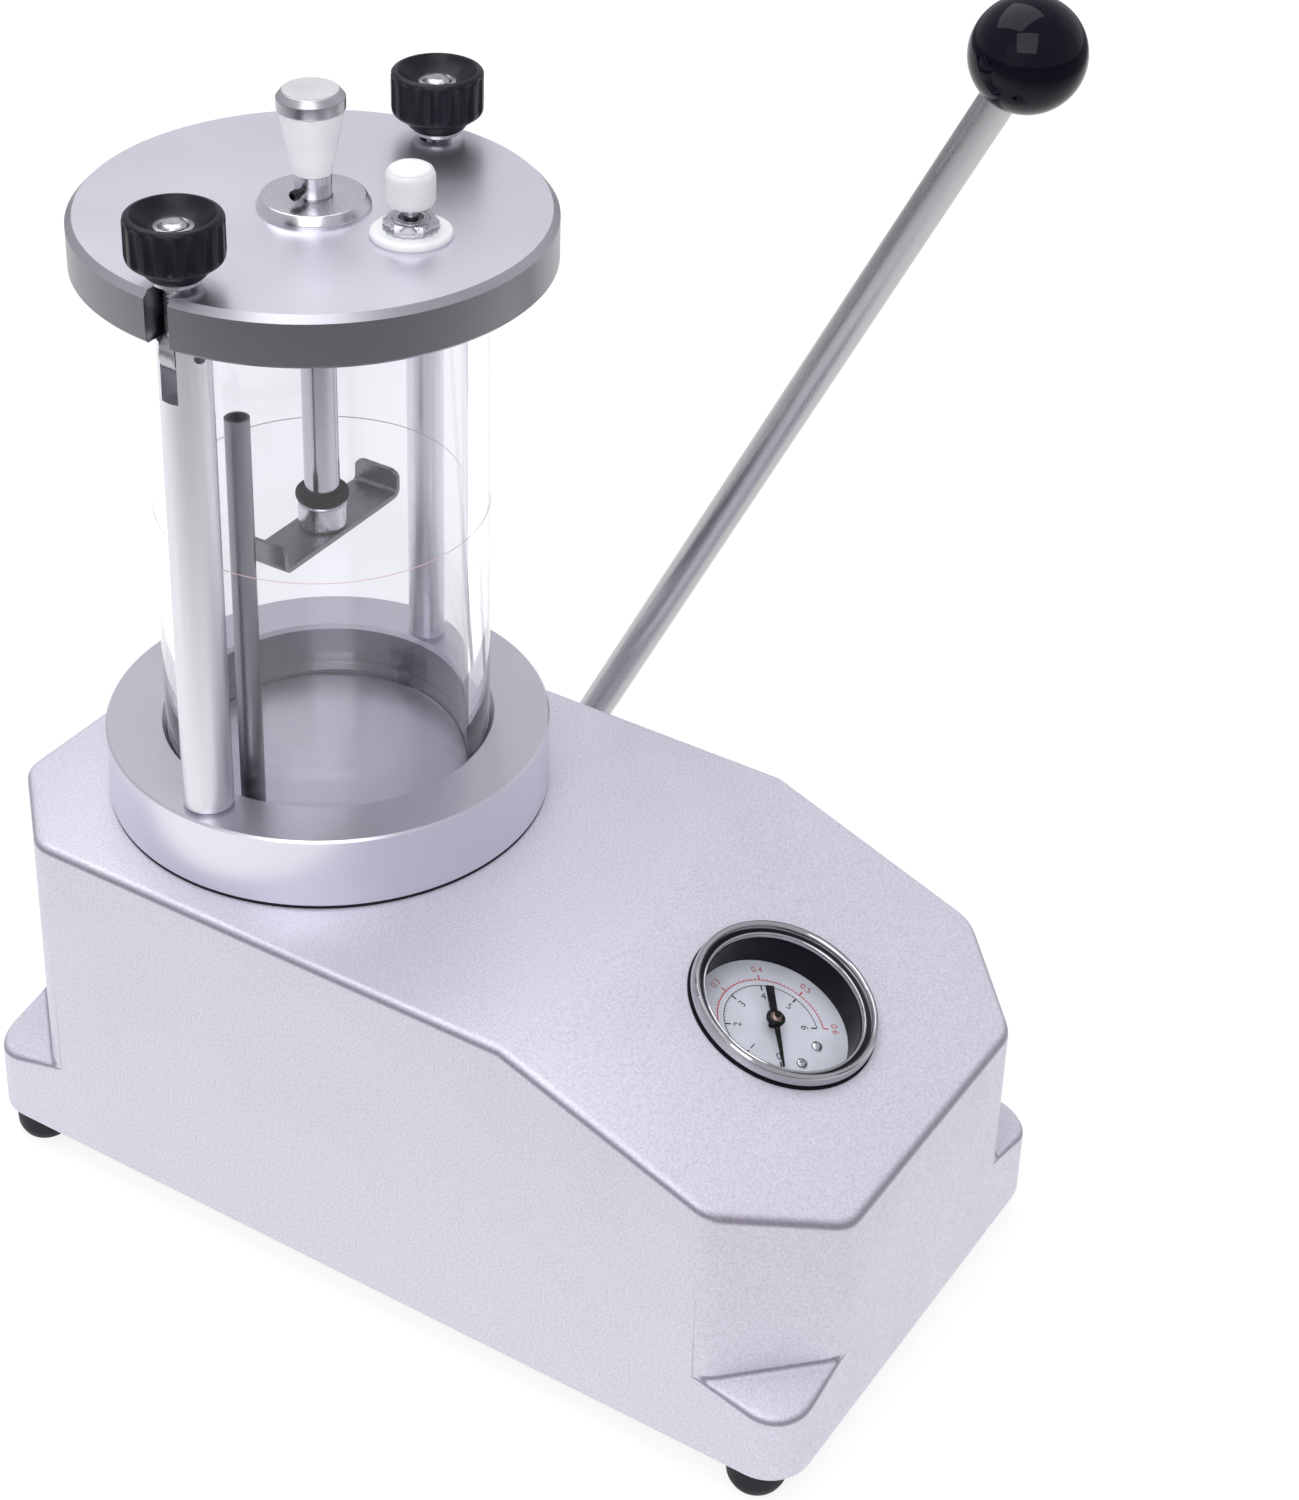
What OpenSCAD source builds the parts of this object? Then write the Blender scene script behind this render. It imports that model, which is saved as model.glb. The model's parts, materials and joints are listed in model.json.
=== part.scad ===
// Hand-pumped pressure tester for watches: a cast housing with a lever pump,
// a clear chamber with a clamped lid, and a pressure gauge on the sloped front.
// Millimetres. X is the operator's right, Y the rear, Z up, feet stand on Z = 0.
// The modules draw round the housing's middle plane; placed() moves every node
// so that the origin is under the middle of the whole object, lever included.

/* [Housing] */
// Width of the housing
body_w = 120; // [116:1:124]
// Length of the housing, front to rear
body_l = 225.6; // [220:0.1:230]
// Height of the flat rear top above the table
body_h = 95.6; // [93:0.1:96]
// Height of the top at the front edge
nose_h = 67.9; // [66:0.1:69]
// Where the flat top starts to slope down
crease_y = -38; // [-42:1:-36]
// Cut-off at each vertical corner
corner_cut = 22.3; // [20:0.1:23]
// Wall thickness of the casting
wall = 4; // [3.5:0.5:4.5]
// Height of the corner ledges
ledge_h = 29.2; // [27:0.1:33]
// How far the ledges slope down outwards, degrees
ledge_fall = 18; // [8:1:20]
// Corner radius of the plinth
ledge_r = 10; // [8:1:11]

/* [Feet and bottom] */
// Height of each rubber foot
foot_h = 8; // [7:0.5:9]
// Radius of each rubber foot
foot_r = 7; // [6:0.1:7]
// Foot position from the centre, across
foot_x = 52.8; // [52:0.1:53]
// Foot position from the centre, along
foot_y = 101.8; // [99:0.1:103]
// Thickness of the bottom plate
plate_t = 2; // [1.5:0.5:2.5]

/* [Chamber] */
// Distance of the chamber axis behind the middle of the housing
chamber_y = 51; // [49:0.5:53]
// Outside radius of the chamber ring
ring_r = 51.8; // [51:0.1:53]
// Height of the chamber ring
ring_t = 18; // [16:0.5:20]
// Thickness of the gasket under the ring
gasket_t = 0.6; // [0.4:0.1:1]
// Outside radius of the clear tube
tube_r = 37.8; // [37:0.1:38.5]
// Wall of the clear tube
tube_wall = 5; // [4:0.5:5]
// Radius of the lid
lid_r = 52.6; // [52:0.1:53]
// Height of the top face of the lid
lid_top = 244; // [241:0.1:246]
// Thickness of the lid
lid_t = 11.8; // [11:0.1:13]

/* [Clamps] */
// Distance of each post from the chamber axis
post_x = 44.4; // [44.3:0.1:45.5]
// Radius of each post
post_r = 5.7; // [5:0.1:5.8]
// Shank radius of the swing bolts
bolt_r = 3; // [2.5:0.1:3.1]
// Free lift between clamp washer and lid at rest
clamp_gap = 1.05; // [1:0.05:1.2]
// Radius of the clamp knobs
knob_r = 10.4; // [10:0.1:11.5]
// Number of flutes round a knob
flutes = 16; // [12:1:20]

/* [Watch holder] */
// Radius of the holder rod
rod_r = 4; // [3.5:0.1:4.2]
// Height of the lower end of the rod
rod_low = 165.6; // [153:0.1:168]
// Half length of the holder strip
strip_x = 21.5; // [20:0.5:25]
// Width of the holder strip
strip_w = 12; // [10:0.5:14]
// Height of the hooks at the strip's ends
hook_h = 6.5; // [4:0.5:7]

/* [Gauge] */
// Radius of the gauge bezel
bezel_r = 22.6; // [21:0.1:23]
// Radius of the gauge case behind the panel
case_r = 19.6; // [19:0.1:20]
// Depth of the gauge case
case_d = 24; // [20:1:26]

/* [Lever and pump] */
// Height of the lever shaft
shaft_z = 44.6; // [43:0.1:46]
// Position of the lever shaft behind the middle
shaft_y = 43.3; // [42:0.1:44]
// Forward lean of the lever, degrees
lean = 26.65; // [20:0.05:30]
// Distance from the shaft to the ball's centre
lever_len = 267.8; // [240:0.2:280]
// Middle of the lever, measured from the middle of the housing
lever_x = 75; // [74:0.5:78]
// Radius of the ball knob
ball_r = 12.5; // [12:0.5:15]
// Radius of the lever rod
arm_r = 4.1; // [3.5:0.1:4.5]
// Crank radius that drives the piston
crank_r = 18; // [17.5:0.5:18.5]
// Bore radius of the pump
bore_r = 12.5; // [11:0.5:13]

/* [Hidden] */
$fn = 64;
hw = body_w / 2;
hl = body_l / 2;
shift_x = (lever_x + ball_r - hw) / 2;
slope = atan((body_h - nose_h) / (hl + crease_y));
ring_z = body_h + gasket_t;
ring_top = ring_z + ring_t;
seat_z = ring_top - 12;
seal_t = 2;
floor_z = seat_z + 1;
floor_r = tube_r - tube_wall - 0.3;
tube_low = seat_z + seal_t;
lid_low = lid_top - lid_t;
groove_d = 2;
gasket_low = lid_low + 0.5;
pipe_x = -28.1;
pipe_r = 2.7;
pipe_top = 205.6;
pipe_low = 82.6;
post_top = lid_low - 0.4;
pin_z = lid_low - 3.1;
pin_r = 1.75;
eye_r = 4.8;
eye_t = 4;
slot_w = 6.2;
bolt_x = post_x + 1.2;
washer_z = lid_top + clamp_gap;
washer_t = 0.7;
knob_low = washer_z + washer_t + 0.05;
knob_body = lid_top + 4.3;
knob_top = lid_top + 15.8;
valve_y = chamber_y - 25.5;
gland_h = 2.6;
gland_top = lid_top + gland_h;
neck_low = gland_top + 0.2;
gauge_along = 37.7;
gauge_y = crease_y - gauge_along * cos(slope);
gauge_z = body_h - gauge_along * sin(slope);
pin_zc = shaft_z + crank_r;
shaft_r = 6;
cyl_front = -38;
cyl_rear = 18;
piston_y = -10;
valve_x = pipe_x;
wire_y = -30;
SIDES = [-1, 1];
CORNERS = [for (x = SIDES, y = SIDES) [x, y]];
RING_BOLTS = [for (a = [45:90:315]) [44 * cos(a), chamber_y + 44 * sin(a)]];
PLATE_BOLTS = [for (c = CORNERS) [c[0] * 52.5, c[1] * 76]];

// Every node's shift from the housing's middle to the shared origin
module placed() {
    translate([-shift_x, 0, 0]) children();
}

// A ring or tube standing on Z
module ring(outer, inner, h, z = 0) {
    translate([0, 0, z])
        difference() {
            cylinder(r = outer, h = h);
            translate([0, 0, -1]) cylinder(r = inner, h = h + 2);
        }
}

// Children moved onto the chamber axis
module at_chamber() {
    translate([0, chamber_y, 0]) children();
}

// Children in the gauge's own frame: Z out of the sloped panel
module at_gauge() {
    translate([0, gauge_y, gauge_z]) rotate([slope, 0, 0]) children();
}

// A bar along X from x to x + len
module bar_x(r, x, len, y, z) {
    translate([x, y, z]) rotate([0, 90, 0]) cylinder(r = r, h = len);
}

// A bar along Y from y to y + len
module bar_y(r, x, y, len, z) {
    translate([x, y, z]) rotate([-90, 0, 0]) cylinder(r = r, h = len);
}

// ---- housing ----

// Plan of the housing with its four cut corners, moved in by d
module plan(d = 0) {
    w = hw - d;
    l = hl - d;
    c = corner_cut - d * (2 - sqrt(2));
    polygon([for (q = [0:3]) for (e = [0, 1])
        let (sx = (q == 0 || q == 3) ? 1 : -1)
        let (sy = q < 2 ? 1 : -1)
        let (first = (q == 0 || q == 2) ? e == 0 : e == 1)
        first ? [sx * w, sy * (l - c)] : [sx * (w - c), sy * l]]);
}

// Side view between z and the top, moved in by d
module side_view(d, z) {
    dz = d / cos(slope);
    drop = (body_h - nose_h) / (hl + crease_y);
    knee = crease_y - (dz - d) / drop;
    polygon([
        [-hl, z], [hl, z], [hl, body_h - d],
        [knee, body_h - d], [-hl, nose_h - dz]
    ]);
}

// Closed form of the housing, moved in by d
module body_form(d, z) {
    intersection() {
        translate([0, 0, z]) linear_extrude(body_h) plan(d);
        translate([hw, 0, 0])
            rotate([90, 0, -90])
            linear_extrude(body_w)
            mirror([1, 0])
            side_view(d, z);
    }
}

// Rounded rectangle of the plinth
module plinth_plan() {
    w = body_w - 2 * ledge_r;
    l = body_l - 2 * ledge_r;
    square([w, body_l], center = true);
    square([body_w, l], center = true);
    for (c = CORNERS)
        translate([c[0] * w / 2, c[1] * l / 2]) circle(r = ledge_r);
}

module plinth() {
    difference() {
        translate([0, 0, foot_h]) linear_extrude(ledge_h - foot_h) plinth_plan();
        for (c = CORNERS)
            translate([c[0] * (hw - corner_cut / 2), c[1] * (hl - corner_cut / 2), ledge_h])
                rotate([0, 0, c[0] > 0 ? c[1] * 45 : 180 - c[1] * 45])
                rotate([0, ledge_fall, 0])
                translate([0, -20, 0])
                cube([40, 40, 20]);
    }
}

module housing() {
    color("silver")
        difference() {
            union() {
                body_form(0, foot_h);
                plinth();
            }
            difference() {
                body_form(wall, foot_h - 1);
                for (p = PLATE_BOLTS)
                    translate([p[0], p[1], foot_h + plate_t]) cylinder(r = 5, h = 16);
                bar_x(11, hw - wall - 6, 8, shaft_y, shaft_z);
            }
            translate([0, 0, foot_h - 1]) linear_extrude(plate_t + 1) plan(2);
            for (p = PLATE_BOLTS)
                translate([p[0], p[1], foot_h]) cylinder(r = 2, h = 14);
            for (c = CORNERS)
                translate([c[0] * foot_x, c[1] * foot_y, foot_h - 1]) cylinder(r = 2, h = 14);
            for (p = RING_BOLTS)
                translate([p[0], p[1], body_h - 10]) cylinder(r = 2.5, h = 12);
            translate([pipe_x, chamber_y, body_h - 10]) cylinder(r = 5, h = 12);
            at_gauge() translate([0, 0, -15]) cylinder(r = case_r + 0.3, h = 20);
            bar_x(8, hw - wall - 8, 14, shaft_y, shaft_z);
        }
}

module bottom_plate() {
    color("dimgray")
        difference() {
            translate([0, 0, foot_h]) linear_extrude(plate_t) plan(2.2);
            for (p = PLATE_BOLTS)
                translate([p[0], p[1], foot_h - 1]) cylinder(r = 2, h = plate_t + 2);
            for (c = CORNERS)
                translate([c[0] * foot_x, c[1] * foot_y, foot_h - 1])
                    cylinder(r = foot_r + 1, h = plate_t + 2);
        }
}

// A pan-head screw pointing up, its head under z
module screw_up(r, head_r, head_h, len, z) {
    translate([0, 0, z - head_h]) cylinder(r = head_r, h = head_h);
    translate([0, 0, z]) cylinder(r = r, h = len);
}

module bottom_screws() {
    color("gray") {
        for (p = PLATE_BOLTS)
            translate([p[0], p[1], 0]) screw_up(2, 3.6, 2, 12, foot_h);
        for (c = CORNERS)
            translate([c[0] * foot_x, c[1] * foot_y, 0]) screw_up(2, 3.3, 1.6, 14, foot_h - 3);
    }
}

module foot(i) {
    color("black")
        translate([CORNERS[i][0] * foot_x, CORNERS[i][1] * foot_y, 0])
            rotate_extrude()
            polygon([
                [2, foot_h - 3], [3.5, foot_h - 3], [3.5, 0], [foot_r - 1.8, 0],
                [foot_r - 1, 0.5], [foot_r - 0.3, 2.2], [foot_r, foot_h - 2.5],
                [foot_r, foot_h], [2, foot_h]
            ]);
}

// ---- chamber ----

module ring_gasket() {
    color("black")
        at_chamber()
        difference() {
            ring(ring_r - 0.2, 24, gasket_t, body_h);
            for (p = RING_BOLTS)
                translate([p[0], p[1] - chamber_y, body_h - 1]) cylinder(r = 2.6, h = 3);
            translate([pipe_x, 0, body_h - 1]) cylinder(r = 4, h = 3);
        }
}

module chamber_ring() {
    color("lightgray")
        at_chamber()
        difference() {
            rotate_extrude()
                polygon([
                    [0, ring_z], [ring_r - 0.4, ring_z], [ring_r, ring_z + 0.4],
                    [ring_r, ring_top - 0.5], [ring_r - 0.5, ring_top],
                    [tube_r + 1, ring_top], [tube_r + 0.1, ring_top - 0.9],
                    [tube_r + 0.1, seat_z], [floor_r, seat_z], [floor_r, floor_z],
                    [0, floor_z]
                ]);
            for (p = RING_BOLTS)
                translate([p[0], p[1] - chamber_y, ring_z - 1]) cylinder(r = 2.5, h = 11);
            for (s = SIDES)
                translate([s * post_x, 0, ring_top - 9]) cylinder(r = 3, h = 10);
            translate([pipe_x, 0, ring_z - 1]) cylinder(r = pipe_r, h = 20);
        }
}

module ring_screws() {
    color("gray")
        for (p = RING_BOLTS)
            translate([p[0], p[1], 0]) screw_up(2.5, 4.2, 3, 13, body_h - wall);
}

module tube_seal() {
    color("black")
        at_chamber()
        ring(tube_r, floor_r + 0.1, seal_t, seat_z);
}

module chamber_tube() {
    color("aliceblue", 0.4)
        at_chamber()
        ring(tube_r, tube_r - tube_wall, gasket_low - tube_low, tube_low);
}

module air_pipe() {
    color("gray")
        translate([pipe_x, chamber_y, 0])
        ring(pipe_r, 2.1, pipe_top - pipe_low, pipe_low);
}

module post(s) {
    color("lightgray")
        translate([s * post_x, chamber_y, 0])
        difference() {
            union() {
                translate([0, 0, ring_top]) cylinder(r1 = post_r - 0.8, r2 = post_r, h = 0.8);
                translate([0, 0, ring_top + 0.8])
                    cylinder(r = post_r, h = post_top - ring_top - 0.8);
                translate([0, 0, ring_top - 8]) cylinder(r = 3, h = 9);
            }
            translate([s > 0 ? -1.6 : -8.4, -eye_t / 2 - 0.15, pin_z - 10.8])
                cube([10, eye_t + 0.3, 30]);
            translate([s * (bolt_x - post_x), 0, pin_z]) {
                translate([-eye_r - 0.3, -eye_t / 2 - 0.15, -eye_r - 0.3])
                    cube([2 * eye_r + 0.6, eye_t + 0.3, 20]);
                translate([0, 8, 0]) rotate([90, 0, 0]) cylinder(r = pin_r, h = 16);
            }
        }
}

module hinge_pins() {
    color("gray")
        for (s = SIDES)
            translate([s * bolt_x, chamber_y + 4.3, pin_z])
                rotate([90, 0, 0]) cylinder(r = pin_r, h = 8.6);
}

// ---- lid ----

module lid() {
    color("darkgray")
        difference() {
            at_chamber()
                rotate_extrude()
                polygon([
                    [0, lid_low], [tube_r - tube_wall - 0.4, lid_low],
                    [tube_r - tube_wall - 0.4, lid_low + groove_d],
                    [tube_r + 0.4, lid_low + groove_d], [tube_r + 0.4, lid_low],
                    [lid_r - 0.8, lid_low], [lid_r, lid_low + 0.8],
                    [lid_r, lid_top - 1.5], [lid_r - 1.5, lid_top], [0, lid_top]
                ]);
            for (s = SIDES)
                translate([s * (bolt_x - 1.8), chamber_y, lid_low - 1]) {
                    cylinder(r = slot_w / 2, h = lid_t + 2);
                    translate([s > 0 ? 0 : -14, -slot_w / 2, 0]) cube([14, slot_w, lid_t + 2]);
                }
            translate([0, chamber_y, lid_low - 1]) cylinder(r = 8, h = lid_t + 2);
            translate([0, valve_y, lid_low - 1]) cylinder(r = 4, h = lid_t + 2);
        }
}

module lid_gasket() {
    color("black")
        at_chamber()
        ring(tube_r, tube_r - tube_wall, lid_low + groove_d - gasket_low, gasket_low);
}

module gland_bush() {
    color("gainsboro")
        at_chamber()
        rotate_extrude()
        polygon([
            [rod_r + 0.06, lid_low + 0.2], [8, lid_low + 0.2], [8, lid_top], [12.4, lid_top],
            [12.4, lid_top + 0.6], [11.3, gland_top], [rod_r + 0.06, gland_top],
            [rod_r + 0.06, lid_low + 8], [5.6, lid_low + 8], [5.6, lid_low + 5.4],
            [rod_r + 0.06, lid_low + 5.4]
        ]);
}

module gland_seal() {
    color("black")
        at_chamber()
        ring(5.6, rod_r + 0.05, 2.6, lid_low + 5.4);
}

module holder_rod() {
    color("whitesmoke")
        at_chamber() {
            translate([0, 0, rod_low - 2.4]) cylinder(r = 2, h = 3);
            translate([0, 0, rod_low + 0.2]) cylinder(r = rod_r, h = neck_low - rod_low - 0.2);
            translate([0, 0, neck_low - 1]) cylinder(r = 2.5, h = 14);
        }
}

module handle() {
    color("white")
        at_chamber()
        difference() {
            rotate_extrude()
                polygon([
                    [2.5, neck_low], [4, neck_low], [4, lid_top + 7.6], [4.2, lid_top + 7.9],
                    [7.1, lid_top + 22.3], [7.4, lid_top + 22.5], [7.4, lid_top + 25.1],
                    [6.3, lid_top + 26.5], [5.9, lid_top + 26.8], [0, lid_top + 26.8],
                    [0, neck_low + 13], [2.5, neck_low + 13]
                ]);
            bar_x(1.3, -8, 6.2, 0, lid_top + 4.7);
        }
}

module handle_set_screw() {
    color("black")
        bar_x(1.3, -6.6, 4.1, chamber_y, lid_top + 4.7);
}

module bumper_ring() {
    color("black")
        at_chamber()
        rotate_extrude()
        polygon([
            [rod_r + 0.06, rod_low + 6.9], [5.7, rod_low + 6.9], [6.1, rod_low + 7.5],
            [6.1, rod_low + 8.7], [5.7, rod_low + 9.3], [rod_r + 0.06, rod_low + 9.3]
        ]);
}

module rod_end_cap() {
    color("gainsboro")
        at_chamber()
        difference() {
            ring(5.6, rod_r, 6.6, rod_low + 0.2);
            translate([0, 0, rod_low - 1]) cylinder(r = rod_r, h = 2);
        }
}

module holder_strip() {
    t = 1.2;
    r = 2;
    z = rod_low + 0.2 - t;
    color("darkgray")
        difference() {
            translate([0, chamber_y + strip_w / 2, z])
                rotate([90, 0, 0])
                linear_extrude(strip_w) {
                    translate([-strip_x + r, 0]) square([2 * (strip_x - r), t]);
                    for (s = SIDES) {
                        intersection() {
                            translate([s * (strip_x - r), r])
                                difference() {
                                    circle(r = r);
                                    circle(r = r - t);
                                }
                            translate([s > 0 ? strip_x - r : -strip_x, 0]) square([r, r]);
                        }
                        translate([s > 0 ? strip_x - t : -strip_x, r]) square([t, hook_h - r]);
                    }
                }
            translate([0, chamber_y, z - 1]) cylinder(r = 2, h = 4);
        }
}

// ---- clamps ----

module swing_bolt(s) {
    color("gray")
        translate([s * bolt_x, chamber_y, 0])
        difference() {
            union() {
                translate([0, eye_t / 2, pin_z]) rotate([90, 0, 0]) cylinder(r = eye_r, h = eye_t);
                intersection() {
                    translate([0, 0, pin_z + 2]) cylinder(r = bolt_r, h = 20);
                    translate([-5, -eye_t / 2, pin_z]) cube([10, eye_t, 14]);
                }
                translate([0, 0, lid_low + 4]) cylinder(r = bolt_r, h = knob_top - 4 - lid_low - 4);
            }
            translate([0, 8, pin_z]) rotate([90, 0, 0]) cylinder(r = pin_r + 0.06, h = 16);
        }
}

module clamp_washer(s) {
    color("gainsboro")
        translate([s * bolt_x, chamber_y, 0])
        ring(5.4, bolt_r + 0.15, washer_t, washer_z);
}

module clamp_knob(s) {
    color([0.05, 0.05, 0.06])
        translate([s * bolt_x, chamber_y, 0])
        difference() {
            union() {
                rotate_extrude()
                    polygon([
                        [0, knob_low], [5.6, knob_low], [6.8, knob_low + 1], [6.8, knob_body],
                        [knob_r - 2, knob_body], [knob_r - 0.5, knob_body + 1.4],
                        [knob_r - 0.5, knob_top - 1.2], [knob_r - 1.5, knob_top], [0, knob_top]
                    ]);
                translate([0, 0, knob_body + 1.4])
                    linear_extrude(knob_top - knob_body - 2.8)
                    fluted(knob_r);
            }
            translate([0, 0, knob_top - 5.6]) cylinder(r = 8.4, h = 7);
            translate([0, 0, knob_low - 1]) cylinder(r = 4.3, h = 20);
        }
}

// Round outline with scallops
module fluted(r) {
    difference() {
        circle(r = r);
        for (k = [0:flutes - 1])
            rotate([0, 0, (k + 0.5) * 360 / flutes])
                translate([r + 0.5, 0])
                circle(r = 1.3);
    }
}

module knob_insert(s) {
    color("gainsboro")
        translate([s * bolt_x, chamber_y, 0])
        ring(4.3, bolt_r + 0.06, knob_top - 4.6 - knob_low, knob_low);
}

// ---- release valve ----

module valve_washer() {
    color("white")
        translate([0, valve_y, 0])
        rotate_extrude()
        polygon([
            [4, lid_top], [8.8, lid_top], [8.8, lid_top + 1.3], [8.2, lid_top + 1.8],
            [4, lid_top + 1.8]
        ]);
}

module valve_nut() {
    color("gainsboro")
        translate([0, valve_y, lid_top + 1.8])
        difference() {
            union() {
                cylinder(r = 6.1, h = 0.8);
                translate([0, 0, 0.8]) cylinder(r = 5.9, h = 1.7, $fn = 6);
            }
            translate([0, 0, -1]) cylinder(r = 4, h = 6);
        }
}

module valve_body() {
    color("silver")
        translate([0, valve_y, 0])
        rotate_extrude()
        polygon([
            [0.8, lid_low - 4], [6.5, lid_low - 4], [6.5, lid_low], [4, lid_low],
            [4, lid_top + 4.3], [1.62, lid_top + 4.3], [1.62, lid_low + 8],
            [2.8, lid_low + 8], [2.8, lid_low], [0.8, lid_low]
        ]);
}

module valve_stem() {
    color("gainsboro")
        translate([0, valve_y, 0]) {
            translate([0, 0, lid_low + 5.5]) cylinder(r = 2.7, h = 2.4);
            translate([0, 0, lid_low + 7]) cylinder(r = 1.55, h = lid_top + 9 - lid_low - 7);
        }
}

module valve_button() {
    color("white")
        translate([0, valve_y, 0])
        difference() {
            rotate_extrude() {
                square_at(0, lid_top + 7.2, 4.8, 8.6);
                square_at(0, lid_top + 7.7, 5.3, 6.6);
                translate([4.3, lid_top + 14.3]) circle(r = 1);
                square_at(0, lid_top + 14, 4.3, 1.3);
            }
            translate([0, 0, lid_top + 6]) cylinder(r = 1.55, h = 3);
        }
}

// A rectangle in the plane of a turned profile
module square_at(x, z, w, h) {
    translate([x, z]) square([w, h]);
}

// ---- gauge ----

module gauge_case() {
    color([0.08, 0.08, 0.09])
        at_gauge() {
            difference() {
                translate([0, 0, -case_d]) cylinder(r = case_r, h = case_d);
                translate([0, 0, -8]) cylinder(r = case_r - 1.2, h = 9);
            }
            translate([0, 0, -case_d - 8]) cylinder(r = 5, h = 8);
        }
}

module gauge_bezel() {
    color("gainsboro")
        at_gauge()
        rotate_extrude()
        polygon(concat(
            [[case_r - 0.6, 0], [bezel_r, 0]],
            [for (a = [0:15:120]) [bezel_r - 1.7 + 1.7 * cos(a), 1.9 + 1.7 * sin(a)]],
            [[case_r - 0.6, 1.2]]
        ));
}

module gauge_lens() {
    color("aliceblue", 0.3)
        at_gauge()
        translate([0, 0, -1.2]) cylinder(r = case_r - 1.25, h = 1.2);
}

module gauge_dial() {
    color("white")
        at_gauge()
        translate([0, 0, -8]) cylinder(r = case_r - 1.25, h = 0.8);
}

module dial_screws() {
    color("silver")
        at_gauge()
        for (s = SIDES)
            translate([s * 3.4, -10.6, -7.2]) cylinder(r = 1.2, h = 0.7);
}

module gauge_pointer() {
    color("black")
        at_gauge()
        rotate([0, 0, 131])
        translate([0, 0, -4.7]) {
            linear_extrude(0.5)
                polygon([[-0.75, 0], [-0.95, -9], [0.95, -9], [0.75, 0], [0.18, 13], [-0.18, 13]]);
            cylinder(r = 2.1, h = 0.5);
            translate([0, 0, -2.3]) cylinder(r = 0.8, h = 4.3);
        }
}

module gauge_clamp() {
    color("gray")
        at_gauge()
        ring(case_r + 5, case_r + 0.05, 3, -wall - 3);
}

// ---- lever ----

// Children in the lever's own frame: Z along the rod
module at_lever() {
    translate([lever_x, shaft_y, shaft_z]) rotate([lean, 0, 0]) children();
}

module lever_rod() {
    color("lightgray")
        at_lever()
        translate([0, 0, 7]) cylinder(r = arm_r, h = lever_len - 7 - 3);
}

module ball_knob() {
    color("black")
        at_lever()
        difference() {
            translate([0, 0, lever_len]) sphere(r = ball_r);
            translate([0, 0, lever_len - 20]) cylinder(r = arm_r, h = 17);
        }
}

module lever_hub() {
    color("darkgray")
        difference() {
            bar_x(11, lever_x - 10, 20, shaft_y, shaft_z);
            bar_x(shaft_r, lever_x - 12, 21, shaft_y, shaft_z);
            at_lever() translate([0, 0, 7]) cylinder(r = arm_r, h = 20);
        }
}

module cross_shaft() {
    color("gray")
        difference() {
            bar_x(shaft_r, -40, lever_x + 9 + 40, shaft_y, shaft_z);
            translate([-38.6, shaft_y, shaft_z]) rotate([0, 90, 0]) ring(8, 5, 1.2);
        }
}

module shaft_clip() {
    color("dimgray")
        translate([-38.6, shaft_y, shaft_z])
        rotate([0, 90, 0])
        difference() {
            ring(8, 5, 1.2);
            translate([0, -1.5, -1]) cube([10, 3, 4]);
        }
}

module shaft_bushes() {
    color("peru") {
        translate([0, shaft_y, shaft_z])
            rotate([0, 90, 0]) {
                ring(8, shaft_r + 0.06, wall + 6, hw - wall - 6);
                ring(10.5, shaft_r + 0.06, 3, hw);
                ring(8, shaft_r + 0.06, 12, -36);
            }
    }
}

module bearing_block() {
    color("gray")
        difference() {
            translate([-36, shaft_y - 14, foot_h + plate_t]) cube([12, 28, shaft_z + 2]);
            bar_x(8, -38, 16, shaft_y, shaft_z);
        }
}

module crank_arm() {
    color("dimgray")
        difference() {
            union() {
                bar_x(10, 9, 8, shaft_y, shaft_z);
                bar_x(6, 9, 8, shaft_y, pin_zc);
                translate([9, shaft_y - 6, shaft_z]) cube([8, 12, crank_r]);
            }
            bar_x(shaft_r, 8, 10, shaft_y, shaft_z);
            bar_x(3, 8, 10, shaft_y, pin_zc);
        }
}

module crank_pin() {
    color("silver")
        bar_x(3, -9, 26, shaft_y, pin_zc);
}

// ---- pump ----

module piston_rod() {
    yoke_y = 8.6;
    color("silver")
        difference() {
            union() {
                bar_y(4, 0, piston_y + 6, shaft_y - yoke_y + 1 - piston_y - 6, pin_zc);
                bar_y(3, 0, piston_y - 6, 14, pin_zc);
                translate([-7, shaft_y - yoke_y, pin_zc - 10.6]) cube([14, 2 * yoke_y, 17]);
            }
            translate([-8, shaft_y - 3.4, pin_zc - 7.2]) cube([16, 6.8, 10.8]);
        }
}

module piston() {
    color("darkgray")
        difference() {
            bar_y(bore_r - 0.08, 0, piston_y - 6, 12, pin_zc);
            translate([0, piston_y - 1.5, pin_zc]) rotate([-90, 0, 0]) ring(bore_r + 1, bore_r - 2, 3);
            bar_y(3, 0, piston_y - 7, 14, pin_zc);
        }
}

module piston_seal() {
    color("black")
        translate([0, piston_y - 1.5, pin_zc])
        rotate([-90, 0, 0])
        ring(bore_r - 0.03, bore_r - 2, 3);
}

module pump_cylinder() {
    color("lightgray")
        difference() {
            union() {
                bar_y(bore_r + 3.5, 0, cyl_front, cyl_rear - cyl_front + 4, pin_zc);
                for (y = [cyl_front + 2, cyl_rear - 10])
                    translate([-12, y, foot_h + plate_t]) cube([24, 8, pin_zc - 10 - foot_h - plate_t]);
                bar_x(5, -18, 10, wire_y, pin_zc);
            }
            bar_y(bore_r, 0, cyl_front + 4, cyl_rear - cyl_front - 4, pin_zc);
            bar_y(4.08, 0, cyl_rear - 1, 6, pin_zc);
            bar_x(2, -20, 12, wire_y, pin_zc);
        }
}

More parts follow.
